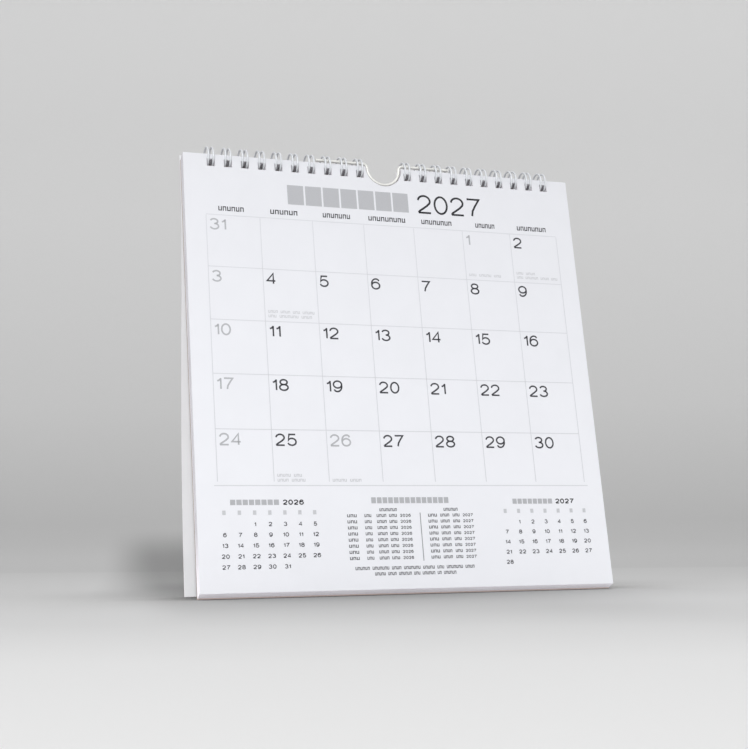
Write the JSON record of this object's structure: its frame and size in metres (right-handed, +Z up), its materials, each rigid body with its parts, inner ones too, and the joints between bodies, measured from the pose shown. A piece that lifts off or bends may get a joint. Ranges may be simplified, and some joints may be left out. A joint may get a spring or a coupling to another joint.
{
  "type": "wire-bound monthly calendar",
  "caption": "Wire-bound monthly calendar that stands open on its block of pages and its turned-over front leaf, with a wire hanger folded down in a half-round notch.",
  "frame": {"origin": "middle of the footprint, on the surface that the calendar stands on", "axes": "+Z up, -Y towards the reader, +X along the binding to the reader's right"},
  "size_m": [0.205, 0.0498, 0.2153],
  "materials": {
    "pages": "smooth uncoated",
    "board": "matt",
    "cover": "smooth uncoated",
    "comb_wire": "bright",
    "hanger_wire": "satin"
  },
  "bodies": {
    "block": {"front_pages": "pages", "backing_board": "board", "left_wire_comb": "comb_wire", "right_wire_comb": "comb_wire"},
    "leaf": {"cover_leaf": "cover"},
    "hanger": {"hanger_wire": "hanger_wire"}
  },
  "joints": [
    {"name": "leaf_turn", "type": "hinge", "parent": "block", "child": "leaf", "pos_m": [0, 0.01944, 0.20978], "axis": [1, 0, 0], "range_deg": [0, 95]},
    {"name": "hanger_turn", "type": "hinge", "parent": "block", "child": "hanger", "pos_m": [0, 0.0169, 0.21242], "axis": [-1, 0, 0], "range_deg": [0, 180]}
  ]
}
